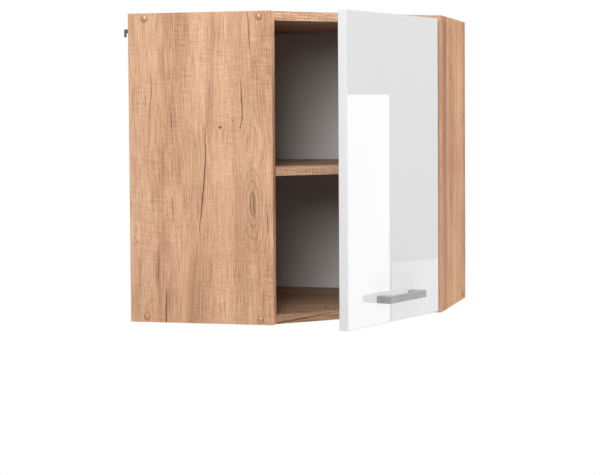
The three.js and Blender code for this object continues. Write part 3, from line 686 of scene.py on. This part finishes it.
softened("door_slab", "door_panel", "door", whiteGloss, doorEdges)
softened("bow_handle", "handle", "door", handleGrey, slimEdges)
for level in ("upper", "lower"):
    for ending, part, body, edges in (("_arm_pressed", "_hinge_arm", "carcass", metalEdges),
                                      ("_plate_pressed", "_hinge_plate", "carcass", metalEdges),
                                      ("_cup_pressed", "_hinge_cup", "door", metalEdges),
                                      ("_link_bent", "_hinge_link", level + "_link", slimEdges)):
        softened(level + ending, level + part, body, zincSteel, edges)
for side in ("left", "right"):
    softened(side + "_hook_pressed", side + "_hanger_hook", "carcass", hookSteel,
             metalEdges)
    softened(side + "_housing_moulded", side + "_hanger_housing", "carcass",
             whitePlastic, mouldedEdges)
print("door and hinges made")

finishOf = {
    "white_backing": backingLeft, "white_plastic": whitePlastic, "zinc_steel": zincSteel,
    "clear_bumper": clearBumper, "cap_plastic": capPlastic,
}
slotOf = {part["node"]: part["material_slot"] for part in frame["record"]["subparts"]}
for node, thing in nodes.items():
    if slotOf.get(node) in finishOf:
        finish = backingRight if node == "right_back_panel" else finishOf[slotOf[node]]
        if not thing.material_slots:
            thing.data.materials.append(None)
        for place in thing.material_slots:
            place.material = finish
print("solids that stay are finished")


# edge bands on the front edges

bandSizes = {"thickness": 0.0003, "inset": 0.0004, "sunk": 0.0001, "softening": 0.00012,
             "slack": 1e-5}


def strip(work, corners, out):
    # a thin plate on four corners, standing out by its thickness
    outer = [work.verts.new(Vector(c) + Vector(out) * bandSizes["thickness"]) for c in corners]
    inner = [work.verts.new(Vector(c) - Vector(out) * bandSizes["sunk"]) for c in corners]
    work.faces.new(outer)
    work.faces.new(list(reversed(inner)))
    for i in range(4):
        j = (i + 1) % 4
        work.faces.new([outer[i], inner[i], inner[j], outer[j]])


def bandPiece(name, strips, material):
    work = bmesh.new()
    for corners, out in strips:
        strip(work, corners, out)
    bmesh.ops.recalc_face_normals(work, faces=work.faces)
    bmesh.ops.bevel(work, geom=work.edges[:], offset=bandSizes["softening"], segments=1,
                    affect="EDGES")
    mesh = bpy.data.meshes.new(name)
    work.to_mesh(mesh)
    work.free()
    mesh.materials.append(material)
    piece = placed(name, mesh)
    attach(piece, "carcass")


def frontEdgeStrip(node):
    low, high = (Vector(c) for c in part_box(node))
    reach = bandSizes["inset"]
    points = [v.co for v in nodes[node].data.vertices]
    front = max(p.x - p.y for p in points)
    edge = [p for p in points if p.x - p.y > front - bandSizes["slack"]]
    start = min(edge, key=lambda p: p.x)
    end = max(edge, key=lambda p: p.x)
    shift = (end - start).normalized() * reach
    x0, y0 = start.x + shift.x, start.y + shift.y
    x1, y1 = end.x - shift.x, end.y - shift.y
    z0, z1 = low.z + reach, high.z - reach
    return ([(x0, y0, z0), (x1, y1, z0), (x1, y1, z1), (x0, y0, z1)],
            (math.sqrt(0.5), -math.sqrt(0.5), 0))


def panelEdgeStrip(node):
    low, high = (Vector(c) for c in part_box(node))
    reach = bandSizes["inset"]
    z0, z1 = reach, high.z - reach
    if node.startswith("left"):
        x, y0, y1 = high.x, low.y + reach, high.y - reach
        return [(x, y0, z0), (x, y1, z0), (x, y1, z1), (x, y0, z1)], (1, 0, 0)
    y, x0, x1 = low.y, low.x + reach, high.x - reach
    return [(x0, y, z0), (x1, y, z0), (x1, y, z1), (x0, y, z1)], (0, -1, 0)


bandPiece("board_front_bands", [frontEdgeStrip(n) for n in ("top_panel", "bottom_panel", "shelf")],
          oakBandLevel)
bandPiece("left_front_band", [panelEdgeStrip("left_side_panel")], oakBandUpright)
bandPiece("right_front_band", [panelEdgeStrip("right_side_panel")], oakBandRight)
print("edge bands made")


# repeated pieces by Geometry Nodes: cover caps and cross screws

copySizes = {"corners": 48, "rodCorners": 16, "footEdge": (0.2, 0.8), "spinStep": 2.4}


def carrier(name, places):
    # one vertex at each place, with the way it faces and its own turn as attributes
    mesh = bpy.data.meshes.new(name)
    mesh.from_pydata([p for p, _ in places], [], [])
    mesh.attributes.new("facing", "FLOAT_VECTOR", "POINT")
    mesh.attributes.new("spin", "FLOAT", "POINT")
    for i, (_, way) in enumerate(places):
        mesh.attributes["facing"].data[i].vector = way
        mesh.attributes["spin"].data[i].value = copySizes["spinStep"] * i
    return placed(name, mesh)


def domeTree(name, shape, rings, shank=False):
    # a round disc on every point, closed below, whose height is shape(...); shank adds a rod
    values = dict.fromkeys(("Radius", "Height", "Detail", "Shank", "Length"), "Float")
    inputs = {"Geometry": "Geometry", **values, "Finish": "Material"}
    graph, given = newGroup("GeometryNodeTree", name, inputs, {"Geometry": "Geometry"})
    cone = graph.add("GeometryNodeMeshCone", {"fill_type": "TRIANGLE_FAN"},
                     {"Vertices": copySizes["corners"], "Side Segments": rings, "Fill Segments": 1,
                      "Radius Top": 0.0, "Radius Bottom": given["Radius"], "Depth": 1.0})
    x, y, z = graph.split(graph.add("GeometryNodeInputPosition"))
    radius = (x * x + y * y).math("SQRT") / given["Radius"]
    lift = shape(radius, x, y, given)
    lift = lift * (z + radius).between(*copySizes["footEdge"])  # the foot's middle stays down
    whole = graph.add("GeometryNodeSetPosition", None,
                      {"Geometry": cone, "Position": graph.vector(x, y, lift)})
    if shank:
        rod = graph.add("GeometryNodeMeshCylinder", None,
                        {"Vertices": copySizes["rodCorners"], "Radius": given["Shank"],
                         "Depth": given["Length"]})
        sunk = graph.vector(0.0, 0.0, given["Length"] * -0.5)
        rod = graph.add("GeometryNodeTransform", None, {"Geometry": rod, "Translation": sunk})
        whole = graph.add("GeometryNodeJoinGeometry", None, {0: [rod, whole]})
    facing = graph.add("GeometryNodeInputNamedAttribute", {"data_type": "FLOAT_VECTOR"},
                       {"Name": "facing"})
    spin = graph.add("GeometryNodeInputNamedAttribute", {"data_type": "FLOAT"}, {"Name": "spin"})
    turn = graph.add("FunctionNodeAlignRotationToVector", {"axis": "Z"}, {"Vector": facing})
    copies = graph.add("GeometryNodeInstanceOnPoints", None,
                       {"Points": given["Geometry"], "Instance": whole, "Rotation": turn})
    spun = graph.add("GeometryNodeRotateInstances", None,
                     {"Instances": copies, "Rotation": graph.vector(0.0, 0.0, spin),
                      "Local Space": True})
    real = graph.add("GeometryNodeRealizeInstances", None, {"Geometry": spun})
    done = graph.add("GeometryNodeSetMaterial", None,
                     {"Geometry": real, "Material": given["Finish"]})
    return graph.outlet(done)


capProfile = {"rimRise": (0.80, 0.90), "rimFall": (0.93, 1.0)}
screwProfile = {"flatness": 4.0, "roundness": 0.55, "crossEnd": (0.52, 0.66), "crossIn": 0.7,
                "crossOut": 1.1, "crossDepth": 0.7}


def capShape(radius, x, y, given):
    # a dome that meets the board steeply
    swell = (1 - radius * radius).math("MAXIMUM", 0.0).math("SQRT")
    rim = radius.between(*capProfile["rimRise"]) * (1 - radius.between(*capProfile["rimFall"]))
    return swell * given["Height"] + rim * given["Detail"]


def screwShape(radius, x, y, given):
    # a pan head with a cross recess; Detail is half the width of the cross
    profile = screwProfile
    swell = (1 - radius ** profile["flatness"]).math("MAXIMUM", 0.0) ** profile["roundness"]
    inner, outer = (given["Detail"] * profile[side] for side in ("crossIn", "crossOut"))
    armX, armY = (1 - place.math("ABSOLUTE").between(inner, outer) for place in (x, y))
    cross = armX.math("MAXIMUM", armY) * (1 - radius.between(*profile["crossEnd"]))
    return swell * given["Height"] - cross * given["Height"] * profile["crossDepth"]


def scattered(name, places, tree, sizes, material, body, replaced):
    piece = carrier(name, places)
    modifier = piece.modifiers.new("copies", "NODES")
    modifier.node_group = tree
    for item in tree.interface.items_tree:
        if item.in_out == "INPUT" and item.name in sizes:
            modifier[item.identifier] = sizes[item.name]
        if item.in_out == "INPUT" and item.name == "Finish":
            modifier[item.identifier] = material
    finished(piece)
    smoothByAngle(piece, meshLimits["softCopy"])
    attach(piece, body)
    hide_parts(*replaced)


def outerMiddle(node, way):
    # the middle of the outermost face of a solid that stands along way
    low, high = (Vector(c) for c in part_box(node))
    middle = (low + high) / 2
    reach = max((Vector(v.co) - middle).dot(way) for v in nodes[node].data.vertices)
    return middle + way * reach


def onNodes(name, ways, tree, sizes, material, body):
    # one copy on the head of each node; ways gives the side that it faces
    places = []
    for node, facing in ways.items():
        way = Vector(facing)
        places.append((tuple(outerMiddle(node, way) - way * sizes["Foot"]), tuple(way)))
    scattered(name, places, tree, sizes, material, body, list(ways))


# Foot is how far a copy's foot lies below the outermost face of its node
capSizes = {"Radius": 0.0068, "Height": 0.0040, "Detail": 0.00005, "Foot": 0.0023}
capWays = {node: (0, -1, 0) if "left" in node else (1, 0, 0)
           for node in sorted(nodes) if node.startswith("cover_cap")}
onNodes("cover_caps", capWays, domeTree("coverCaps", capShape, rings=14), capSizes, capPlastic,
        "carcass")
print("cover caps made")

hingeScrewSizes = {"Radius": 0.0036, "Height": 0.0017, "Detail": 0.00055, "Shank": 0.0018,
                   "Length": 0.0100, "Foot": 0.0016}
handleScrewSizes = {"Radius": 0.0037, "Height": 0.0020, "Detail": 0.00055, "Shank": 0.0020,
                    "Length": 0.0300, "Foot": 0.0020}
hangerScrewSizes = {"Radius": 0.0040, "Height": 0.0020, "Detail": 0.00065, "Shank": 0.0026,
                    "Length": 0.0240, "Foot": 0.0020}
screwTree = domeTree("crossScrews", screwShape, rings=20, shank=True)
# the way from the front of the door, as modelled, to its back
doorInward = -Vector((math.cos(doorHeading), math.sin(doorHeading), 0))
plateWays = {node: (-1, 0, 0) for node in sorted(nodes)
             if "_plate_screw_" in node or "_arm_screw" in node}
cupWays = {node: doorInward for node in sorted(nodes) if "_cup_screw_" in node}
handleWays = {node: doorInward for node in sorted(nodes) if node.startswith("handle_screw_")}
hangerWays = {"left_hanger_screw": (1, 0, 0), "right_hanger_screw": (0, -1, 0)}
for name, ways, sizes, body in (("hinge_plate_screws", plateWays, hingeScrewSizes, "carcass"),
                                ("hinge_cup_screws", cupWays, hingeScrewSizes, "door"),
                                ("handle_screws", handleWays, handleScrewSizes, "door"),
                                ("hanger_screws", hangerWays, hangerScrewSizes, "carcass")):
    onNodes(name, ways, screwTree, sizes, zincSteel, body)
print("cross screws made")


# camera, light and floor

cameraSizes = {
    "place": (1.1892, -3.7078, 0.4049), "heading": 0.2626, "dip": 0.0455, "roll": -0.0064,
    "focalPixels": 1717.5, "centre": (300.32, 191.45), "frame": (600, 475), "sensor": 36.0,
    "farthest": 200.0,
}


def makeCamera(sizes):
    heading, dip, roll = sizes["heading"], sizes["dip"], sizes["roll"]
    ahead = Vector((-math.sin(heading) * math.cos(dip), math.cos(heading) * math.cos(dip),
                    -math.sin(dip)))
    right = Vector((math.cos(heading), math.sin(heading), 0))
    up = right.cross(ahead)
    rolledRight = right * math.cos(roll) + up * math.sin(roll)
    rolledUp = up * math.cos(roll) - right * math.sin(roll)
    camera = placed("camera", bpy.data.cameras.new("camera"))
    turn = Matrix((rolledRight, rolledUp, -ahead)).transposed()
    camera.matrix_world = Matrix.Translation(sizes["place"]) @ turn.to_4x4()
    wide, high = sizes["frame"]
    camera.data.sensor_width = sizes["sensor"]
    camera.data.lens = sizes["focalPixels"] * sizes["sensor"] / wide
    camera.data.shift_x = (wide / 2 - sizes["centre"][0]) / wide
    camera.data.shift_y = (sizes["centre"][1] - high / 2) / wide
    camera.data.clip_end = sizes["farthest"]
    scene.camera = camera


makeCamera(cameraSizes)


def areaLight(name, place, target, size, watts, diffuse=True, glossy=True):
    data = bpy.data.lights.new(name, "AREA")
    data.shape = "RECTANGLE"
    data.size, data.size_y = size
    data.energy = watts
    light = placed(name, data)
    light.location = place
    light.rotation_euler = (Vector(target) - Vector(place)).to_track_quat("-Z", "Y").to_euler()
    light.visible_camera = False
    light.visible_diffuse = diffuse
    light.visible_glossy = glossy


areaLight("key", (0.62, -3.4, 1.35), (0.28, -0.3, 0.28), (1.0, 1.3), 51)
areaLight("topWash", (0.14, -1.75, 1.85), (0.15, -0.56, 0.45), (1.6, 0.6), 16.5)
areaLight("rightFill", (2.9, 0.25, 1.0), (0.5, -0.3, 0.3), (2.8, 3.0), 52, glossy=False)
# the pale card that the door mirrors, and the paler lower wall beside it
areaLight("mirroredCard", (2.081, 0.939, -0.30), (1.081, 0.9916, -0.30), (0.1903, 1.524), 2.3,
          diffuse=False)
areaLight("mirroredWall", (2.093, 1.300, -0.735), (1.093, 1.353, -0.735), (0.524, 1.32), 1.8,
          diffuse=False)

# the door shows no shadow of its handle
noShadow = bpy.data.collections.new("noShadow")
noShadow.objects.link(bpy.data.objects["bow_handle"])
noShadow.collection_objects[0].light_linking.link_state = "EXCLUDE"
for name in ("key", "topWash", "rightFill"):
    bpy.data.objects[name].light_linking.blocker_collection = noShadow

world = bpy.data.worlds.new("studio")
scene.world = world
world.use_nodes = True
studio = Graph(world.node_tree)
sky = world.node_tree.nodes["Background"]
# the camera itself sees white
ambient = {"below": 0.25, "above": 0.47, "rise": (-0.3, 0.5), "left": (0.0, -0.9),
           "dimmerLeft": 0.42}
seen = studio.add("ShaderNodeLightPath")
wayX, _, wayZ = studio.split(studio.add("ShaderNodeTexCoord"))
rise = wayZ.between(*ambient["rise"])
left = wayX.between(*ambient["left"])
shade = rise * (ambient["above"] - ambient["below"]) + ambient["below"]
shade = shade * (1 - left * ambient["dimmerLeft"])
feed(studio, sky, Strength=seen * (1 - shade) + shade, Color=(1, 1, 1, 1))

floorMesh = bpy.data.meshes.new("floor")
floorSizes = {"radius": 4.4, "solid": 1.9, "height": -1.4, "corners": 96, "glow": 0.2,
              "tone": (0.9, 0.9, 0.9, 1), "roughness": 0.9}
turns = [2 * math.pi * i / floorSizes["corners"] for i in range(floorSizes["corners"])]
ring = [(floorSizes["radius"] * math.cos(turn), floorSizes["radius"] * math.sin(turn),
         floorSizes["height"]) for turn in turns]
floorMesh.from_pydata(ring, [], [tuple(range(floorSizes["corners"]))])
floor = placed("floor", floorMesh)
floorMaterial, floorGraph, floorShader = newMaterial("paleFloor")
away = floorGraph.add("ShaderNodeVectorMath", {"operation": "LENGTH"}, {0: floorGraph.place}, 1)
feed(floorGraph, floorShader, Alpha=1 - away.between(floorSizes["solid"], floorSizes["radius"]),
     Base_Color=floorSizes["tone"], Roughness=floorSizes["roughness"], Specular_IOR_Level=0.0,
     Emission_Color=(1, 1, 1, 1), Emission_Strength=floorSizes["glow"])
floorMesh.materials.append(floorMaterial)
scene.view_settings.view_transform = "Standard"
print("camera, light and floor made")

for leftover in [mesh for mesh in bpy.data.meshes if mesh.users == 0]:
    bpy.data.meshes.remove(leftover)
